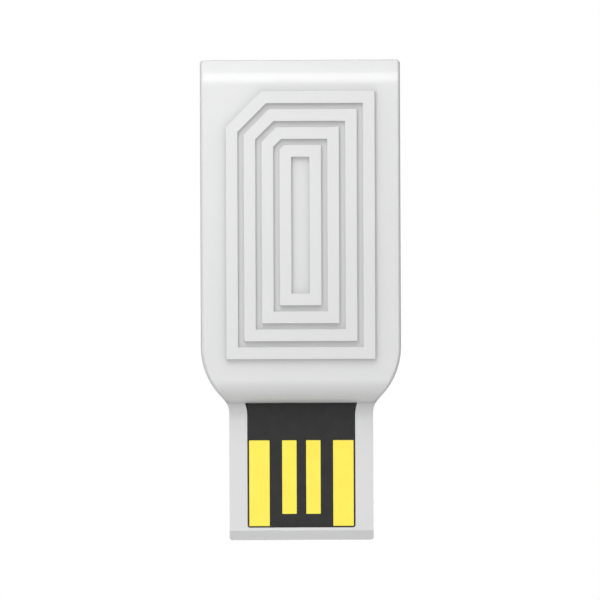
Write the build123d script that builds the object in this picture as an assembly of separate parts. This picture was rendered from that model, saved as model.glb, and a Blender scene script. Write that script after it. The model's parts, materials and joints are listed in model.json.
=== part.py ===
from build123d import *
import math
import os

# USB wireless adapter lying on its back: +X to the right, +Y away from the plug, +Z out of the front face.
# The origin is at the centre of the bounding box's bottom face. All sizes are in millimetres.

# Overall outline, seen from the front
END_Y = 20.0
TIP_Y = -20.0
BODY_HALF_WIDTH = 8.325
PLUG_HALF_WIDTH = 6.0
CHEEK_Y = -3.9
CHEEK_RADIUS = 5.9
THROAT_RADIUS = 1.6
FLANK_ANGLE = 41.0
TIP_CORNER_RADIUS = 0.22

# Thicknesses, seen from the side
PLUG_THICKNESS = 2.25
FACE_Z = 4.21
TOP_Z = 4.5
SHOULDER_Y = -8.58
WALL = 0.85
END_BEND_Y = 17.8
END_BEND_RADIUS = 1.7
END_SLOPE = 45.0
FLOOR_Z = 0.9
REAR_END_RADIUS = 0.9
EDGE_RADIUS = 0.3
SEAM_GROOVE = 0.08
TIP_CHAMFER_RUN = 0.79
TIP_CHAMFER_DROP = 0.45

# Raised concentric relief on the front face
RELIEF_CENTRE_Y = 6.225
RELIEF_WIDTH = 12.42
RELIEF_LENGTH = 22.29
RELIEF_CORNER_CUT = 2.97
RIDGE_WIDTH = 0.99
RELIEF_PITCH = 1.49
RIDGE_COUNT = 4
RIDGE_EDGE_CHAMFER = 0.02
RIDGE_ROOT_DEPTH = 0.2

# Plug opening, circuit board and contact pads
OPENING_HALF_WIDTH = 4.5
OPENING_TIP_Y = -18.96
OPENING_CORNER_RADIUS = 0.2
FLARE_Y = -9.6
FLARE_RADIUS = 3.0
FLARE_ANGLE = 22.0
BOARD_GAP = 0.1
BOARD_INSET = 1.25
BOARD_NECK_Y = -6.9
BOARD_THICKNESS = 1.2
BOARD_TOP = FLOOR_Z + BOARD_THICKNESS
FOIL = 0.05
PAD_TOP_Y = -11.69
OUTER_PAD = {"width": 1.7, "tip_y": -18.83}
INNER_PAD = {"width": 1.2, "tip_y": -17.82}
CONTACTS = {
    "contact_ground": (-3.5, OUTER_PAD),
    "contact_data_plus": (-1.0, INNER_PAD),
    "contact_data_minus": (1.0, INNER_PAD),
    "contact_power": (3.5, OUTER_PAD),
}

# How the shells locate and snap together
POSTS = ((-5.5, -2.6), (5.6, 12.3))
POST_RADIUS = 0.5
POST_TOP = 3.1
BOSS_RADIUS = 0.95
BOSS_BORE_RADIUS = 0.53
BOSS_BORE_TOP = 3.15
BOARD_HOLE_RADIUS = 0.56
HOOK_YS = (1.5, 14.6)
HOOK_LENGTH = 2.4
HOOK_THICKNESS = 0.5
HOOK_BARB = 0.22
HOOK_FOOT_Z = 1.02
CATCH_TOP_Z = 1.55
FIT_GAP = 0.03
HOOK_CLEARANCE = 0.15
LIP_THICKNESS = 0.35
LIP_HEIGHT = 0.35

# Radio shield can: (centre x, centre y), outer size and heights above the board
SHIELD_CENTRE = (-0.1, 5.95)
SHIELD_SIZE = (12.0, 10.1)
SHIELD_SHEET = 0.18
SHIELD_FRAME_HEIGHT = 0.98
SHIELD_FLANGE = 0.6
SHIELD_SKIRT = 0.8
SHIELD_SLOT_WIDTH = 1.0
SHIELD_VENT_RADIUS = 0.35
SHIELD_VENT_GRID = (4, 3)

# Chips: (x, y) of the centre, body size and height above the board
RADIO_CHIP = {"at": (-1.9, 6.0), "size": (6.0, 6.0, 0.8), "standoff": 0.03, "per_side": 10, "pitch": 0.5,
              "terminal": (0.24, 0.42, 0.2), "ground_pad": 4.2}
MEMORY_CHIP = {"at": (3.6, -1.9), "size": (3.0, 3.0, 0.85), "rows": (4, 4), "pitch": 0.65, "width": 0.3}
REGULATOR = {"at": (-1.6, -1.9), "size": (2.9, 1.6, 1.05), "rows": (3, 2), "pitch": 0.95, "width": 0.4}
SURGE_PROTECTOR = {"at": (0.0, -5.95), "size": (2.9, 1.6, 1.05), "rows": (3, 3), "pitch": 0.95, "width": 0.4}
CHIP_STANDOFF = 0.08
CHIP_TOP_CHAMFER = 0.12
LEAD_SHEET = 0.14
LEAD_REACH = 0.62
LEAD_FOOT = 0.34
LEAD_BEND_SHARE = 0.4
CRYSTAL = {"at": (3.9, 8.0), "size": (2.5, 2.0), "base": 0.45, "corner": 0.15}
CRYSTAL_LID = {"size": (2.3, 1.8), "height": 0.25, "corner": 0.25, "edge": 0.08}

# Two-terminal parts: (x, y, turned a quarter), and each family's length, width and height
CAPACITOR_PLACES = (
    (-5.4, 8.6, True), (-5.4, 6.9, True), (-5.4, 5.2, True), (-5.4, 3.5, True),
    (-3.4, 10.2, False), (-1.7, 10.2, False), (0.2, 10.2, False),
    (-3.4, 1.9, False), (-1.7, 1.9, False), (1.8, 2.0, False),
    (-4.4, 12.1, False), (2.2, 12.1, False), (-4.1, -5.6, True), (4.3, -5.6, True),
)
BULK_CAPACITOR_PLACES = ((-4.6, -0.45, True), (0.6, -1.7, True))
RESISTOR_PLACES = (
    (1.9, 9.9, True), (2.0, 8.1, True), (2.0, 6.4, True), (4.6, 10.0, False),
    (-1.2, -4.0, False), (1.2, -4.0, False), (5.9, -4.4, True),
)
SMALL_CAPACITOR = (1.0, 0.5, 0.5)
BULK_CAPACITOR = (2.0, 1.25, 1.0)
RESISTOR = (1.0, 0.5, 0.33)
INDUCTOR_PLACES = ((3.9, 4.1, False),)
INDUCTOR = (2.5, 2.0, 0.95)
FILTER_PLACES = ((-1.0, 12.15, False),)
FILTER = (2.0, 1.25, 0.85)
BEAD_PLACES = ((2.6, -6.1, True),)
BEAD = (1.6, 0.8, 0.8)
TERMINAL_SHARE = 0.22
END_CAP = 0.03

# How closely an edge has to lie at a height to be taken as being there
TOLERANCE = 0.001

# Printed antenna: a folded strip of copper at the far end of the board
ANTENNA_STRIP = 0.5
ANTENNA_NEAR_Y = 13.7
ANTENNA_FOLD_Y = 14.9
ANTENNA_FAR_Y = 18.1
ANTENNA_FEED_Y = 13.0
ANTENNA_FEED_X = -4.6
ANTENNA_SHORT_X = -6.3
ANTENNA_FOLDS_X = (-3.0, -1.4, 0.2, 1.8, 3.4)
ANTENNA_TAIL_X = 6.3


def box_between(low, high):
    """A box from its lowest corner to its highest one."""
    size = [b - a for a, b in zip(low, high)]
    return Pos(*low) * Box(*size, align=(Align.MIN, Align.MIN, Align.MIN))


def outline():
    """The adapter's outline from the front: body, rounded cheeks, flanks, throats and plug."""
    turn = math.radians(FLANK_ANGLE)
    narrowing = BODY_HALF_WIDTH - PLUG_HALF_WIDTH
    flank_run = narrowing - (CHEEK_RADIUS + THROAT_RADIUS) * (1 - math.cos(turn))
    end = Line((0, END_Y), (BODY_HALF_WIDTH, END_Y))
    side = Line(end @ 1, (BODY_HALF_WIDTH, CHEEK_Y))
    cheek = JernArc(side @ 1, side % 1, CHEEK_RADIUS, -FLANK_ANGLE)
    flank = Line(cheek @ 1, cheek @ 1 + (cheek % 1) * (flank_run / math.sin(turn)))
    throat = JernArc(flank @ 1, flank % 1, THROAT_RADIUS, FLANK_ANGLE)
    plug_side = Line(throat @ 1, (PLUG_HALF_WIDTH, TIP_Y))
    tip = Line(plug_side @ 1, (0, TIP_Y))
    right = Curve() + [end, side, cheek, flank, throat, plug_side, tip]
    return make_face(right + mirror(right, about=Plane.YZ))


def along_x(profile):
    """A side profile, drawn in Y and Z, drawn out across the whole width."""
    return extrude(profile, BODY_HALF_WIDTH + WALL, both=True)


def side_face(lines):
    """A face in the YZ plane from edges that were drawn as (y, z)."""
    return Plane.YZ * make_face(lines)


def front_profile(inset):
    """Side profile of the front cover: a bend and a sloped facet at the far end, and the shoulder's roll."""
    bend_centre = (END_BEND_Y, FACE_Z - END_BEND_RADIUS)
    bend = CenterArc(bend_centre, END_BEND_RADIUS - inset, 90 - END_SLOPE, END_SLOPE)
    facet_run = END_Y - inset - (bend @ 0).X
    facet_foot = (END_Y - inset, (bend @ 0).Y - facet_run * math.tan(math.radians(END_SLOPE)))
    roll_radius = FACE_Z - PLUG_THICKNESS
    shoulder_centre = (SHOULDER_Y + roll_radius, PLUG_THICKNESS)
    shoulder = CenterArc(shoulder_centre, roll_radius - inset, 90, 90)
    roof = Line(bend @ 1, shoulder @ 0)
    ends = Polyline(shoulder @ 1, (END_Y - inset, PLUG_THICKNESS), facet_foot, bend @ 0)
    return side_face(Curve() + [bend, roof, shoulder, ends])


def rear_profile():
    """Side profile of the rear shell: rounded lower end, and a lead-in on both faces of the plug's tip."""
    lower_end = (END_Y - REAR_END_RADIUS, REAR_END_RADIUS)
    roll = CenterArc(lower_end, REAR_END_RADIUS, -90, 90)
    lead_y = TIP_Y + TIP_CHAMFER_RUN
    corners = [
        roll @ 1,
        (END_Y, PLUG_THICKNESS),
        (lead_y, PLUG_THICKNESS),
        (TIP_Y, PLUG_THICKNESS - TIP_CHAMFER_DROP),
        (TIP_Y, TIP_CHAMFER_DROP),
        (lead_y, 0),
        roll @ 0,
    ]
    return side_face(Curve() + [roll, Polyline(*corners)])


def cavity_plan(inset):
    """The outline moved inwards, from the far end to just short of the shoulder."""
    inner = offset(outline(), -inset, kind=Kind.INTERSECTION)
    keep_y = SHOULDER_Y + inset
    keep = Pos(0, (keep_y + END_Y) / 2) * Rectangle(2 * BODY_HALF_WIDTH, END_Y - keep_y)
    return inner & keep


def opening_plan(margin, near_y):
    """The plug's opening, which flares at the shoulder and runs back under it to near_y."""
    half = OPENING_HALF_WIDTH - margin
    tip = Line((0, OPENING_TIP_Y + margin), (half, OPENING_TIP_Y + margin))
    side = Line(tip @ 1, (half, FLARE_Y))
    flare = JernArc(side @ 1, side % 1, FLARE_RADIUS, -FLARE_ANGLE)
    neck = Line(flare @ 1, ((flare @ 1).X, near_y))
    end = Line(neck @ 1, (0, near_y))
    right = Curve() + [tip, side, flare, neck, end]
    opening = make_face(right + mirror(right, about=Plane.YZ))
    corners = opening.vertices().sort_by(Axis.Y)[:2]
    return fillet(corners, OPENING_CORNER_RADIUS)


def post_discs(radius):
    """One disc at each locating post."""
    return Sketch() + [Pos(x, y) * Circle(radius) for x, y in POSTS]


def at_hooks(make):
    """A piece made for the right-hand side at each hook's place, and its mirror image on the left."""
    right = [Pos(0, y, 0) * make() for y in HOOK_YS]
    return right + [mirror(piece, about=Plane.YZ) for piece in right]


def hook():
    """A snap hook that hangs from the front cover, with a barb that catches in the rear shell."""
    outer_x = BODY_HALF_WIDTH - WALL - FIT_GAP
    inner_x = outer_x - HOOK_THICKNESS
    barb_z = CATCH_TOP_Z - FIT_GAP
    corners = [
        (inner_x, FACE_Z - WALL),
        (inner_x, HOOK_FOOT_Z),
        (outer_x, HOOK_FOOT_Z),
        (outer_x + HOOK_BARB, barb_z - HOOK_BARB),
        (outer_x + HOOK_BARB, barb_z),
        (outer_x, barb_z),
        (outer_x, FACE_Z - WALL),
    ]
    face = Plane.XZ * make_face(Polyline(*corners, close=True))
    return extrude(face, HOOK_LENGTH / 2, both=True)


def hook_pocket():
    """The undercut in the rear shell's wall that a barb catches in."""
    inner_x = BODY_HALF_WIDTH - WALL - FIT_GAP
    half = HOOK_LENGTH / 2 + 2 * FIT_GAP
    depth = HOOK_BARB + 3 * FIT_GAP
    return box_between((inner_x, -half, FLOOR_Z), (inner_x + depth, half, CATCH_TOP_Z))


def lip_ring(outer_inset, inner_inset, low_z, high_z):
    """A closed ring that follows the cavity's edge, stopped short of the plug's opening."""
    stop_y = SHOULDER_Y + 2 * WALL + LIP_THICKNESS
    ring = cavity_plan(outer_inset) - cavity_plan(inner_inset)
    keep = Pos(0, (stop_y + END_Y) / 2) * Rectangle(2 * BODY_HALF_WIDTH, END_Y - stop_y)
    return Pos(0, 0, low_z) * extrude(ring & keep, high_z - low_z)


def near_z(shape, height):
    """The edges of a shape whose whole length lies at one height."""
    return shape.edges().filter_by_position(Axis.Z, height - TOLERANCE, height + TOLERANCE)


def rear_shell():
    """Back casing in one with the plug's frame: a tray for the board, with posts and snap pockets."""
    shell = extrude(outline(), PLUG_THICKNESS) & along_x(rear_profile())
    tip_corners = shell.edges().filter_by(Axis.Z).group_by(Axis.Y)[0]
    shell = fillet(tip_corners, TIP_CORNER_RADIUS)
    shell = fillet(near_z(shell, 0), EDGE_RADIUS)
    tray = cavity_plan(WALL) + opening_plan(0, SHOULDER_Y + 2 * WALL)
    shell -= Pos(0, 0, FLOOR_Z) * extrude(tray, TOP_Z)
    shell -= lip_ring(WALL - LIP_THICKNESS - 2 * FIT_GAP, WALL, PLUG_THICKNESS - LIP_HEIGHT - FIT_GAP, TOP_Z)
    shell -= at_hooks(hook_pocket)
    shell += Pos(0, 0, FLOOR_Z) * extrude(post_discs(POST_RADIUS), POST_TOP - FLOOR_Z)
    return shell


def relief_outline(inset):
    """The relief's outline moved inwards, with its top-left corner cut at 45 degrees while a cut remains."""
    half_x = RELIEF_WIDTH / 2 - inset
    low_y = RELIEF_CENTRE_Y - RELIEF_LENGTH / 2 + inset
    high_y = RELIEF_CENTRE_Y + RELIEF_LENGTH / 2 - inset
    cut = RELIEF_CORNER_CUT - inset * (2 - math.sqrt(2))
    corners = [(-half_x, low_y), (half_x, low_y), (half_x, high_y)]
    if inset < (RIDGE_COUNT - 1) * RELIEF_PITCH + RIDGE_WIDTH / 2:
        corners += [(-half_x + cut, high_y), (-half_x, high_y - cut)]
    else:
        corners += [(-half_x, high_y)]
    return make_face(Polyline(*corners, close=True))


def ridge(number):
    """One closed ridge of the relief, counted from the outermost, with its sharp top edges just broken."""
    inset = number * RELIEF_PITCH
    ring = relief_outline(inset) - relief_outline(inset + RIDGE_WIDTH)
    root_z = FACE_Z - RIDGE_ROOT_DEPTH
    wall = Pos(0, 0, root_z) * extrude(ring, TOP_Z - root_z)
    return chamfer(near_z(wall, TOP_Z), RIDGE_EDGE_CHAMFER)


def front_cover():
    """Front casing: rolled far end and shoulder, raised relief, locating lip, bosses and snap hooks."""
    plan = outline()
    cover = Pos(0, 0, PLUG_THICKNESS) * extrude(plan, FACE_Z - PLUG_THICKNESS)
    cover &= along_x(front_profile(0))
    raised = cover.edges().filter_by(lambda edge: edge.center().Z > PLUG_THICKNESS + SEAM_GROOVE)
    rim = raised.filter_by(lambda edge: abs(edge.center().X) > WALL or edge.center().Y > END_Y - SEAM_GROOVE)
    cover = fillet(rim, EDGE_RADIUS)
    groove = plan - offset(plan, -SEAM_GROOVE, kind=Kind.INTERSECTION)
    cover -= Pos(0, 0, PLUG_THICKNESS) * extrude(groove, SEAM_GROOVE)
    for number in range(RIDGE_COUNT):
        cover += ridge(number)
    hollow = Pos(0, 0, PLUG_THICKNESS) * extrude(cavity_plan(WALL), FACE_Z)
    hollow &= along_x(front_profile(WALL))
    cover -= hollow
    cover += lip_ring(WALL - LIP_THICKNESS, WALL, PLUG_THICKNESS - LIP_HEIGHT, PLUG_THICKNESS)
    boss_height = FACE_Z - WALL - BOARD_TOP
    cover += Pos(0, 0, BOARD_TOP) * extrude(post_discs(BOSS_RADIUS), boss_height)
    cover -= Pos(0, 0, BOARD_TOP) * extrude(post_discs(BOSS_BORE_RADIUS), BOSS_BORE_TOP - BOARD_TOP)
    return cover + at_hooks(hook)


def circuit_board():
    """The board: it fills the body's tray and runs out through the neck into the plug."""
    body = cavity_plan(BOARD_INSET)
    body &= Pos(0, END_Y + BOARD_NECK_Y / 2) * Rectangle(2 * BODY_HALF_WIDTH, 2 * END_Y - BOARD_NECK_Y)
    plan = body + opening_plan(BOARD_GAP, BOARD_NECK_Y + WALL) - post_discs(BOARD_HOLE_RADIUS)
    board = Pos(0, 0, FLOOR_Z) * extrude(plan, BOARD_THICKNESS)
    notch_x = BODY_HALF_WIDTH - WALL - HOOK_THICKNESS - HOOK_CLEARANCE
    half = HOOK_LENGTH / 2 + HOOK_CLEARANCE
    return board - at_hooks(lambda: box_between((notch_x, -half, 0), (BODY_HALF_WIDTH, half, TOP_Z)))


def contact(x, pad):
    """One gold-plated pad that lies on the board's front face."""
    length = PAD_TOP_Y - pad["tip_y"]
    strip = Pos(x, (PAD_TOP_Y + pad["tip_y"]) / 2) * RectangleRounded(pad["width"], length, FOIL)
    return Pos(0, 0, BOARD_TOP) * extrude(strip, FOIL)


def printed_antenna():
    """A folded inverted-F antenna: shorting leg, feed leg and a strip that folds back and forth."""
    spine = [(ANTENNA_SHORT_X, ANTENNA_NEAR_Y), (ANTENNA_SHORT_X, ANTENNA_FAR_Y)]
    here, there = ANTENNA_FAR_Y, ANTENNA_FOLD_Y
    for x in ANTENNA_FOLDS_X:
        spine += [(x, here), (x, there)]
        here, there = there, here
    spine += [(ANTENNA_TAIL_X, here)]
    feed = Line((ANTENNA_FEED_X, ANTENNA_FEED_Y), (ANTENNA_FEED_X, ANTENNA_FAR_Y))
    strip = trace(Polyline(*spine), ANTENNA_STRIP) + trace(feed, ANTENNA_STRIP)
    return Pos(0, 0, BOARD_TOP) * extrude(strip, FOIL)


def shield_frame():
    """The fence of the shield can, soldered to the board, with a flange that the cover snaps over."""
    width, length = SHIELD_SIZE
    plate = Rectangle(width, length)
    inside = Rectangle(width - 2 * SHIELD_SHEET, length - 2 * SHIELD_SHEET)
    window = Rectangle(width - 2 * SHIELD_FLANGE, length - 2 * SHIELD_FLANGE)
    fence = extrude(plate - inside, SHIELD_FRAME_HEIGHT)
    flange_z = SHIELD_FRAME_HEIGHT - SHIELD_SHEET
    fence += Pos(0, 0, flange_z) * extrude(plate - window, SHIELD_SHEET)
    slot = Box(SHIELD_SLOT_WIDTH, 2 * length, 2 * SHIELD_SHEET)
    slots = [Pos(x, 0, 0) * slot for x in (-width / 4, width / 4)]
    return Pos(*SHIELD_CENTRE, BOARD_TOP) * (fence - slots)


def shield_cover():
    """The shield can's lid, with a skirt outside the frame and a field of small vent holes."""
    width, length = (side + 2 * (SHIELD_SHEET + FIT_GAP) for side in SHIELD_SIZE)
    lid_z = SHIELD_FRAME_HEIGHT + SHIELD_SHEET
    block = extrude(Rectangle(width, length), SHIELD_SKIRT)
    block = fillet(block.edges().filter_by(Axis.Z) + near_z(block, SHIELD_SKIRT), SHIELD_SHEET)
    inside = Rectangle(width - 2 * SHIELD_SHEET, length - 2 * SHIELD_SHEET)
    lid = block - extrude(inside, SHIELD_SKIRT - SHIELD_SHEET)
    across, along = SHIELD_VENT_GRID
    grid = GridLocations(width / (across + 1), length / (along + 1), across, along)
    vents = grid * Cylinder(SHIELD_VENT_RADIUS, 3 * SHIELD_SKIRT)
    return Pos(*SHIELD_CENTRE, BOARD_TOP + lid_z - SHIELD_SKIRT) * (lid - vents)


def radio_chip():
    """The flat no-lead radio chip: its moulded body, and its terminals with the ground pad beneath."""
    width, length, height = RADIO_CHIP["size"]
    standoff = RADIO_CHIP["standoff"]
    place = Pos(*RADIO_CHIP["at"], BOARD_TOP)
    terminal = RADIO_CHIP["terminal"]
    row = []
    for number in range(RADIO_CHIP["per_side"]):
        along = (number - (RADIO_CHIP["per_side"] - 1) / 2) * RADIO_CHIP["pitch"]
        low = (along - terminal[0] / 2, -length / 2, 0)
        row.append(box_between(low, (low[0] + terminal[0], low[1] + terminal[1], terminal[2])))
    ring = [Rot(0, 0, 90 * side) * box for side in range(4) for box in row]
    pad = extrude(Rectangle(RADIO_CHIP["ground_pad"], RADIO_CHIP["ground_pad"]), 2 * standoff)
    body = Pos(0, 0, standoff) * extrude(Rectangle(width, length), height)
    body = chamfer(near_z(body, standoff + height), standoff)
    body -= ring
    body -= pad
    return [place * body], [place * solid for solid in ring + [pad]]


def gull_lead(width, height):
    """One bent lead that leaves the chip's side along +X at half its height and stands on the board."""
    shelf = LEAD_REACH - LEAD_FOOT
    path = [
        (0, height),
        (shelf * LEAD_BEND_SHARE, height),
        (shelf, LEAD_SHEET / 2),
        (LEAD_REACH, LEAD_SHEET / 2),
    ]
    face = Plane.XZ * trace(Polyline(*path), LEAD_SHEET)
    lead = extrude(face, width / 2, both=True)
    keep = box_between((0, -width, 0), (LEAD_REACH + LEAD_SHEET, width, 2 * height))
    return lead & keep


def leaded_chip(chip, turn):
    """A small moulded chip and its two rows of bent leads, turned about its centre by turn degrees."""
    length, width, height = chip["size"]
    place = Pos(*chip["at"], BOARD_TOP) * Rot(0, 0, turn)
    body = Pos(0, 0, CHIP_STANDOFF) * extrude(Rectangle(width, length), height)
    body = chamfer(near_z(body, CHIP_STANDOFF + height), CHIP_TOP_CHAMFER)
    leads = []
    for side, count in enumerate(chip["rows"]):
        spacing = chip["pitch"] if count > 2 or max(chip["rows"]) == count else 2 * chip["pitch"]
        for number in range(count):
            along = (number - (count - 1) / 2) * spacing
            lead = Pos(width / 2, along, 0) * gull_lead(chip["width"], CHIP_STANDOFF + height / 2)
            leads.append(place * Rot(0, 0, 180 * side) * lead)
    return [place * body], leads


def crystal():
    """The clock crystal: a ceramic base and a metal lid seamed onto it."""
    place = Pos(*CRYSTAL["at"], BOARD_TOP)
    base = extrude(RectangleRounded(*CRYSTAL["size"], CRYSTAL["corner"]), CRYSTAL["base"])
    lid = extrude(RectangleRounded(*CRYSTAL_LID["size"], CRYSTAL_LID["corner"]), CRYSTAL_LID["height"])
    lid = fillet(near_z(lid, CRYSTAL_LID["height"]), CRYSTAL_LID["edge"])
    return [place * base], [place * Pos(0, 0, CRYSTAL["base"]) * lid]


def two_terminal(places, size):
    """Bodies and end terminals of one family of two-terminal parts: (bodies, terminals)."""
    length, width, height = size
    cap = length * TERMINAL_SHARE
    bodies, terminals = [], []
    for x, y, turned in places:
        place = Pos(x, y, BOARD_TOP) * Rot(0, 0, 90 if turned else 0)
        core = (length / 2 - cap, width / 2 - END_CAP, height - END_CAP)
        bodies.append(place * box_between((-core[0], -core[1], END_CAP), core))
        for side in (-1, 1):
            end = fillet(Box(cap, width, height).edges(), END_CAP)
            terminals.append(place * Pos(side * (length - cap) / 2, 0, height / 2) * end)
    return bodies, terminals


def write(name, shape):
    """Writes one node to its own STEP file."""
    shape.label = name
    export_step(shape, f"parts/{name}.step")


def write_pair(names, pair):
    """Writes a part's body and its metal as two nodes, each from its list of solids."""
    for name, solids in zip(names, pair):
        write(name, Compound(children=solids) if len(solids) > 1 else solids[0])


def main():
    os.makedirs("parts", exist_ok=True)
    write("rear_shell", rear_shell())
    write("front_cover", front_cover())
    write("circuit_board", circuit_board())
    for name, (x, pad) in CONTACTS.items():
        write(name, contact(x, pad))
    write("printed_antenna", printed_antenna())
    write("shield_frame", shield_frame())
    write("shield_cover", shield_cover())
    write_pair(("radio_chip", "radio_chip_terminals"), radio_chip())
    write_pair(("memory_chip", "memory_chip_leads"), leaded_chip(MEMORY_CHIP, 0))
    write_pair(("voltage_regulator", "voltage_regulator_leads"), leaded_chip(REGULATOR, 0))
    write_pair(("surge_protector", "surge_protector_leads"), leaded_chip(SURGE_PROTECTOR, 90))
    write_pair(("crystal_base", "crystal_lid"), crystal())
    small = two_terminal(CAPACITOR_PLACES, SMALL_CAPACITOR)
    bulk = two_terminal(BULK_CAPACITOR_PLACES, BULK_CAPACITOR)
    capacitors = [a + b for a, b in zip(small, bulk)]
    write_pair(("capacitor_bodies", "capacitor_terminals"), capacitors)
    write_pair(("resistor_bodies", "resistor_terminals"), two_terminal(RESISTOR_PLACES, RESISTOR))
    write_pair(("power_inductor", "power_inductor_terminals"), two_terminal(INDUCTOR_PLACES, INDUCTOR))
    write_pair(("rf_filter", "rf_filter_terminals"), two_terminal(FILTER_PLACES, FILTER))
    write_pair(("ferrite_bead", "ferrite_bead_terminals"), two_terminal(BEAD_PLACES, BEAD))


main()
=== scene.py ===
import json
import math

import bmesh
import bpy
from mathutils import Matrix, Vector


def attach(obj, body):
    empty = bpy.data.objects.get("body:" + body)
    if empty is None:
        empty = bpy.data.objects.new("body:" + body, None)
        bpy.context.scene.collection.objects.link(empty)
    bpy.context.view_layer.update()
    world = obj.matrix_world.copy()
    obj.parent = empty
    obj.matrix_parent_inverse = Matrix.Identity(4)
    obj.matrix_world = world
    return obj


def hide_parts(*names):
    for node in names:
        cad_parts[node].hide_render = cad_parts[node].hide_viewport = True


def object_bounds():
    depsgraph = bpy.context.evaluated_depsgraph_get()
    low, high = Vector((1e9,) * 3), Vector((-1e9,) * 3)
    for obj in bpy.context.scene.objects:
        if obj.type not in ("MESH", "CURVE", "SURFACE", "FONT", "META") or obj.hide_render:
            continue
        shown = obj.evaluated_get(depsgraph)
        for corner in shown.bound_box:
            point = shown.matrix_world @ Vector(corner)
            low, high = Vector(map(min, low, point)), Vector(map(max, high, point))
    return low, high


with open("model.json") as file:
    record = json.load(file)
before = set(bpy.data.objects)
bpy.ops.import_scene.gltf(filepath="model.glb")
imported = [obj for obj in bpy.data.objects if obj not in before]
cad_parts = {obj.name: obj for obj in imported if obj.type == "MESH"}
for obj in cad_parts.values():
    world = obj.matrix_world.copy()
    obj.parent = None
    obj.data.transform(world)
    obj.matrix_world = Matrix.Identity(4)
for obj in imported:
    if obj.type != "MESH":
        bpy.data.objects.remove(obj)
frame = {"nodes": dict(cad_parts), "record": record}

CAD_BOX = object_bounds()
MM = 0.001

# Camera: straight above the front face, with a long lens, a little aside and turned as in the photograph.
# OBJECT_SHARE is how much of the picture the object's length takes.
CAMERA_HEIGHT = 1.5
CAMERA_ASIDE = -0.062 * MM
CAMERA_ROLL = math.radians(-0.22)
CAMERA_NEAR = 0.01
CAMERA_FAR = 10
OBJECT_SHARE = 0.8
SENSOR_WIDTH = 36.0

# Floor: its side, how bright the camera sees it, and how much light it throws back
FLOOR_SIDE = 1.6
FLOOR_SHOWN = 1.0
FLOOR_BOUNCE = 0.16

# Sky: its even strength, and what a direction's x, y and z each add to it
SKY_LEVEL = 0.216
SKY_LEAN = (0.03, 0.152, 0.456)
SKY_COLOUR = (1, 1, 1, 1)

# Softboxes: name, direction from the object, distance, two sides, radiance,
# and True to show in gloss or False to show in matte shading
SOFTBOXES = (
    ("far_gloss", (0.0, 0.83, 0.56), 0.5, (0.5, 0.56), 2.26, True),
    ("top_gloss", (0.0, 0.0, 1.0), 0.5, (0.3, 0.3), 0.681, True),
    ("far_light", (-0.20, 0.82, 0.52), 0.11, (0.07, 0.07), 3.29, False),
    ("side_light", (-0.60, 0.10, 0.80), 0.05, (0.03, 0.03), 0.63, False),
    ("near_light", (-0.1, -0.90, 0.42), 0.15, (0.1, 0.08), 1.9, False),
)

# Most of a noise texture's values lie between these two
NOISE_LOW = 0.3
NOISE_HIGH = 0.7

# Colour and roughness of the visible materials, at the low and the high end of a noise.
# POLISH_STRETCH draws the gold's noise out along Y.
WHITE_PLASTIC = ((0.855, 0.857, 0.86), (0.87, 0.872, 0.874))
WHITE_ROUGHNESS = (0.30, 0.38)
BLACK_MASK = ((0.031, 0.031, 0.031), (0.036, 0.036, 0.036))
BLACK_ROUGHNESS = (0.42, 0.52)
GOLD_PLATING = ((1.0, 0.83, 0.097), (1.0, 0.87, 0.112))
GOLD_ROUGHNESS = (0.3, 0.4)
POLISH_STRETCH = (1.0, 0.03, 1.0)

# Painted corner shade in the white plastic's colour: how far away a wall still shades it, the darkest factor
# and its power
PAINTED_SHADE_REACH = 1.6 * MM
PAINTED_SHADE_DARKEST = 0.70
PAINTED_SHADE_POWER = 0.6
PAINTED_SHADE_SAMPLES = 16

# Materials inside the casing. Metals: colour, lowest and highest roughness. Mattes: colour, middle roughness.
PLAIN_METALS = {
    "copper_foil": ((0.80, 0.42, 0.26), 0.35, 0.5),
    "shield_steel": ((0.74, 0.74, 0.72), 0.28, 0.42),
    "tinned_leads": ((0.80, 0.80, 0.80), 0.35, 0.5),
}
PLAIN_MATTES = {
    "chip_resin": ((0.025, 0.025, 0.027), 0.55),
    "base_ceramic": ((0.72, 0.70, 0.65), 0.45),
    "capacitor_ceramic": ((0.44, 0.30, 0.19), 0.4),
    "ferrite_ceramic": ((0.07, 0.065, 0.06), 0.6),
}
METAL_DARKEST = 0.86
MATTE_DARKEST = 0.85
MATTE_ROUGHNESS_SPREAD = 0.06

# Shell refinement: points this near are one, faces this flat are one, and edges this bent are sharp
WELD_DISTANCE = 0.0002 * MM
FLAT_ANGLE = math.radians(0.4)
SHARP_ANGLE = math.radians(22)


def centre_and_size():
    """The centre and the three sides of the CAD box."""
    low, high = (Vector(corner) for corner in CAD_BOX)
    return (low + high) / 2, high - low


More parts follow.
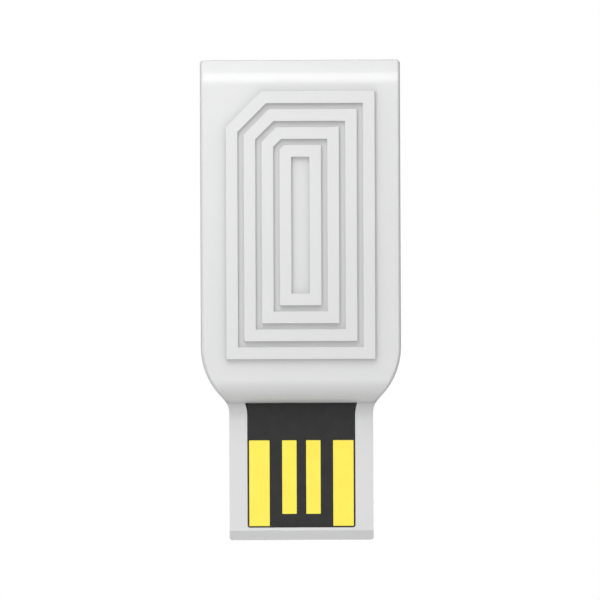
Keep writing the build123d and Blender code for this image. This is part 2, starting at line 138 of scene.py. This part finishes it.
class Shader:
    """A node material with short calls for the nodes that the finishes below share."""

    def __init__(self, name):
        self.material = bpy.data.materials.new(name)
        self.material.use_nodes = True
        self.tree = self.material.node_tree
        self.surface = self.tree.nodes["Principled BSDF"]
        self.place = self.add("ShaderNodeTexCoord").outputs["Object"]

    def add(self, kind, **settings):
        """A new node with its settings."""
        node = self.tree.nodes.new(kind)
        for key, value in settings.items():
            setattr(node, key, value)
        return node

    def join(self, output, socket):
        """Links an output to an input."""
        self.tree.links.new(output, socket)

    def stretch(self, scale):
        """Object coordinates multiplied by scale, which is one number for each axis."""
        mapping = self.add("ShaderNodeMapping")
        mapping.inputs["Scale"].default_value = scale
        self.join(self.place, mapping.inputs["Vector"])
        return mapping.outputs["Vector"]

    def noise(self, size, detail=2.0, rough=0.5, where=None):
        """Noise whose features are about size metres across."""
        node = self.add("ShaderNodeTexNoise")
        node.inputs["Scale"].default_value = 1.0 / size
        node.inputs["Detail"].default_value = detail
        node.inputs["Roughness"].default_value = rough
        self.join(where or self.place, node.inputs["Vector"])
        return node.outputs["Fac"]

    def ramp(self, value, low, high, from_low=NOISE_LOW, from_high=NOISE_HIGH):
        """A value carried from one range to another, and held inside it."""
        node = self.add("ShaderNodeMapRange")
        node.inputs["From Min"].default_value = from_low
        node.inputs["From Max"].default_value = from_high
        node.inputs["To Min"].default_value = low
        node.inputs["To Max"].default_value = high
        self.join(value, node.inputs["Value"])
        return node.outputs["Result"]

    def blend(self, factor, low, high):
        """A colour between low and high."""
        node = self.add("ShaderNodeMix", data_type="RGBA")
        node.inputs["A"].default_value = (*low, 1)
        node.inputs["B"].default_value = (*high, 1)
        self.join(factor, node.inputs["Factor"])
        return node.outputs["Result"]

    def shade(self, value, colour):
        """A colour multiplied by a value."""
        node = self.add("ShaderNodeMix", data_type="RGBA", blend_type="MULTIPLY")
        node.inputs["Factor"].default_value = 1.0
        self.join(colour, node.inputs["A"])
        self.join(value, node.inputs["B"])
        return node.outputs["Result"]

    def bump(self, height, depth, below=None):
        """A bump whose height is depth metres where the value is one, on top of the one below."""
        node = self.add("ShaderNodeBump")
        node.inputs["Strength"].default_value = 1.0
        node.inputs["Distance"].default_value = depth
        self.join(height, node.inputs["Height"])
        if below:
            self.join(below, node.inputs["Normal"])
        return node.outputs["Normal"]

    def painted_corner_shade(self, reach, darkest, power):
        """A factor that paints shade into the colour from an ambient occlusion node: one in the open, and
        down to darkest in a corner within reach metres.
        """
        openness = self.add("ShaderNodeAmbientOcclusion", samples=PAINTED_SHADE_SAMPLES)
        openness.inputs["Distance"].default_value = reach
        closed = self.add("ShaderNodeMath", operation="SUBTRACT")
        closed.inputs[0].default_value = 1.0
        self.join(openness.outputs["AO"], closed.inputs[1])
        curved = self.add("ShaderNodeMath", operation="POWER")
        curved.inputs[1].default_value = power
        self.join(closed.outputs["Value"], curved.inputs[0])
        return self.ramp(curved.outputs["Value"], 1.0, darkest, from_low=0.0, from_high=1.0)

    def set(self, **values):
        """Gives the surface's inputs constant values."""
        for name, value in values.items():
            self.surface.inputs[name.replace("_", " ")].default_value = value

    def drive(self, **outputs):
        """Links outputs to the surface's inputs."""
        for name, output in outputs.items():
            self.join(output, self.surface.inputs[name.replace("_", " ")])


def housing_plastic():
    """Satin white ABS: a fine moulded grain, a faint waviness, shade painted into its corners and a thin
    clear gloss.
    """
    s = Shader("housing_plastic")
    s.set(IOR=1.46, Coat_Weight=0.35, Coat_Roughness=0.12, Coat_IOR=1.45)
    tone = s.ramp(s.noise(size=6 * MM, detail=1.0), 0, 1)
    clean = s.blend(tone, *WHITE_PLASTIC)
    # Painted shade: the base colour is darkened near walls and in corners by an ambient occlusion node
    s.drive(Base_Color=s.shade(s.painted_corner_shade(PAINTED_SHADE_REACH, PAINTED_SHADE_DARKEST, PAINTED_SHADE_POWER), clean))
    s.drive(Roughness=s.ramp(s.noise(size=1.5 * MM, detail=3.0), *WHITE_ROUGHNESS))
    grain = s.bump(s.noise(size=0.09 * MM, rough=0.6), depth=0.0006 * MM)
    s.drive(Normal=s.bump(s.noise(size=2.2 * MM, detail=0.0), depth=0.002 * MM, below=grain))
    return s.material


def solder_mask():
    """Black solder mask: a satin lacquer with a fine uneven surface."""
    s = Shader("solder_mask")
    s.set(IOR=1.5, Specular_IOR_Level=0.2)
    tone = s.ramp(s.noise(size=0.8 * MM, detail=3.0), 0, 1)
    s.drive(Base_Color=s.blend(tone, *BLACK_MASK))
    s.drive(Roughness=s.ramp(s.noise(size=0.5 * MM), *BLACK_ROUGHNESS))
    s.drive(Normal=s.bump(s.noise(size=0.07 * MM), depth=0.0008 * MM))
    return s.material


def contact_gold():
    """Hard gold plating with a faint lengthwise polish from being plugged in."""
    s = Shader("contact_gold")
    s.set(Metallic=0.55, IOR=1.5)
    streaks = s.noise(size=0.03 * MM, where=s.stretch(POLISH_STRETCH))
    tone = s.ramp(s.noise(size=1.5 * MM), 0, 1)
    s.drive(Base_Color=s.blend(tone, *GOLD_PLATING))
    s.drive(Roughness=s.ramp(streaks, *GOLD_ROUGHNESS))
    s.drive(Normal=s.bump(streaks, depth=0.0004 * MM))
    return s.material


def plain_metal(name, colour, low_rough, high_rough):
    """Plated or tinned metal inside the casing."""
    s = Shader(name)
    s.set(Metallic=1.0)
    tone = s.ramp(s.noise(size=0.6 * MM, detail=3.0), 0, 1)
    s.drive(Base_Color=s.blend(tone, [METAL_DARKEST * c for c in colour], colour))
    s.drive(Roughness=s.ramp(s.noise(size=0.3 * MM, detail=3.0), low_rough, high_rough))
    s.drive(Normal=s.bump(s.noise(size=0.1 * MM), depth=0.001 * MM))
    return s.material


def plain_matte(name, colour, rough):
    """Resin or ceramic inside the casing, with a fine grain."""
    s = Shader(name)
    tone = s.ramp(s.noise(size=0.2 * MM, detail=3.0), 0, 1)
    s.drive(Base_Color=s.blend(tone, [MATTE_DARKEST * c for c in colour], colour))
    spread = MATTE_ROUGHNESS_SPREAD
    s.drive(Roughness=s.ramp(s.noise(size=0.3 * MM), rough - spread, rough + spread))
    s.drive(Normal=s.bump(s.noise(size=0.05 * MM), depth=0.0015 * MM))
    return s.material


def make_finishes():
    """One material for each of the record's slots."""
    finishes = {
        "housing_plastic": housing_plastic(),
        "solder_mask": solder_mask(),
        "contact_gold": contact_gold(),
    }
    for name, look in PLAIN_METALS.items():
        finishes[name] = plain_metal(name, *look)
    for name, look in PLAIN_MATTES.items():
        finishes[name] = plain_matte(name, *look)
    return finishes


def finish_cad_nodes(finishes):
    """Gives every CAD node the finish of its slot."""
    for part in frame["record"]["subparts"]:
        node = frame["nodes"][part["node"]]
        for slot in node.material_slots:
            slot.material = finishes[part["material_slot"]]


def refined_shell(node, slot, finishes):
    """A welded copy of a CAD shell whose rounded stretches are shaded as one smooth surface."""
    mesh = frame["nodes"][node].data.copy()
    mesh.name = node + "_skin"
    bm = bmesh.new()
    bm.from_mesh(mesh)
    bmesh.ops.remove_doubles(bm, verts=bm.verts, dist=WELD_DISTANCE)
    bmesh.ops.dissolve_limit(bm, angle_limit=FLAT_ANGLE, verts=bm.verts, edges=bm.edges)
    for face in bm.faces:
        face.smooth = True
    for edge in bm.edges:
        edge.smooth = edge.calc_face_angle(0) < SHARP_ANGLE
    bm.to_mesh(mesh)
    bm.free()
    if "custom_normal" in mesh.attributes:
        mesh.attributes.remove(mesh.attributes["custom_normal"])
    mesh.materials.clear()
    mesh.materials.append(finishes[slot])
    shell = bpy.data.objects.new(node + "_skin", mesh)
    bpy.context.scene.collection.objects.link(shell)
    even_shading = shell.modifiers.new("even_normals", "WEIGHTED_NORMAL")
    even_shading.keep_sharp = True
    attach(shell, "root")
    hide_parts(node)


def make_camera():
    """The photograph's view: from straight above, almost without perspective."""
    centre, size = centre_and_size()
    view_side = size.y / OBJECT_SHARE
    data = bpy.data.cameras.new("camera")
    data.sensor_width = SENSOR_WIDTH
    data.lens = SENSOR_WIDTH * (CAMERA_HEIGHT - centre.z) / view_side
    data.clip_start = CAMERA_NEAR
    data.clip_end = CAMERA_FAR
    camera = bpy.data.objects.new("camera", data)
    camera.location = (centre.x + CAMERA_ASIDE, centre.y, CAMERA_HEIGHT)
    camera.rotation_euler = (0, 0, CAMERA_ROLL)
    bpy.context.scene.collection.objects.link(camera)
    bpy.context.scene.camera = camera


def make_floor():
    """A flat floor that shows as plain white, and throws back less light than it shows."""
    mesh = bpy.data.meshes.new("floor")
    half = FLOOR_SIDE / 2
    corners = [(-half, -half, 0), (half, -half, 0), (half, half, 0), (-half, half, 0)]
    mesh.from_pydata(corners, [], [(0, 1, 2, 3)])
    floor = bpy.data.objects.new("floor", mesh)
    bpy.context.scene.collection.objects.link(floor)
    material = bpy.data.materials.new("floor")
    material.use_nodes = True
    tree = material.node_tree
    tree.nodes.clear()
    shown = tree.nodes.new("ShaderNodeEmission")
    shown.inputs["Strength"].default_value = FLOOR_SHOWN
    bounce = tree.nodes.new("ShaderNodeBsdfDiffuse")
    bounce.inputs["Color"].default_value = (FLOOR_BOUNCE, FLOOR_BOUNCE, FLOOR_BOUNCE, 1)
    path = tree.nodes.new("ShaderNodeLightPath")
    mix = tree.nodes.new("ShaderNodeMixShader")
    out = tree.nodes.new("ShaderNodeOutputMaterial")
    tree.links.new(path.outputs["Is Camera Ray"], mix.inputs["Fac"])
    tree.links.new(bounce.outputs["BSDF"], mix.inputs[1])
    tree.links.new(shown.outputs["Emission"], mix.inputs[2])
    tree.links.new(mix.outputs["Shader"], out.inputs["Surface"])
    mesh.materials.append(material)


def make_softbox(name, direction, distance, size, radiance, gloss):
    """A rectangular light that faces the object's centre and shows either in gloss or in matte shading."""
    centre, _ = centre_and_size()
    data = bpy.data.lights.new(name, "AREA")
    data.shape = "RECTANGLE"
    data.size, data.size_y = size
    data.energy = radiance * math.pi * size[0] * size[1]
    light = bpy.data.objects.new(name, data)
    away = Vector(direction).normalized()
    light.location = centre + away * distance
    light.rotation_euler = away.to_track_quat("Z", "Y").to_euler()
    light.visible_diffuse = not gloss
    light.visible_glossy = gloss
    light.visible_camera = False
    bpy.context.scene.collection.objects.link(light)


def make_sky():
    """A soft dome that is brightest overhead and behind, and fades towards the front."""
    world = bpy.data.worlds.new("studio")
    bpy.context.scene.world = world
    world.use_nodes = True
    tree = world.node_tree
    place = tree.nodes.new("ShaderNodeTexCoord")
    lean = tree.nodes.new("ShaderNodeVectorMath")
    lean.operation = "DOT_PRODUCT"
    lean.inputs[1].default_value = SKY_LEAN
    level = tree.nodes.new("ShaderNodeMath")
    level.operation = "ADD"
    level.inputs[1].default_value = SKY_LEVEL
    never_negative = tree.nodes.new("ShaderNodeMath")
    never_negative.operation = "MAXIMUM"
    never_negative.inputs[1].default_value = 0.0
    tree.links.new(place.outputs["Generated"], lean.inputs[0])
    tree.links.new(lean.outputs["Value"], level.inputs[0])
    tree.links.new(level.outputs["Value"], never_negative.inputs[0])
    tree.links.new(never_negative.outputs["Value"], tree.nodes["Background"].inputs["Strength"])
    tree.nodes["Background"].inputs["Color"].default_value = SKY_COLOUR


def make_lights():
    """The softboxes and the sky, shown without a film look."""
    for softbox in SOFTBOXES:
        make_softbox(*softbox)
    make_sky()
    bpy.context.scene.view_settings.view_transform = "Standard"


finishes = make_finishes()
finish_cad_nodes(finishes)
refined_shell("front_cover", "housing_plastic", finishes)
refined_shell("rear_shell", "housing_plastic", finishes)
make_camera()
make_floor()
make_lights()
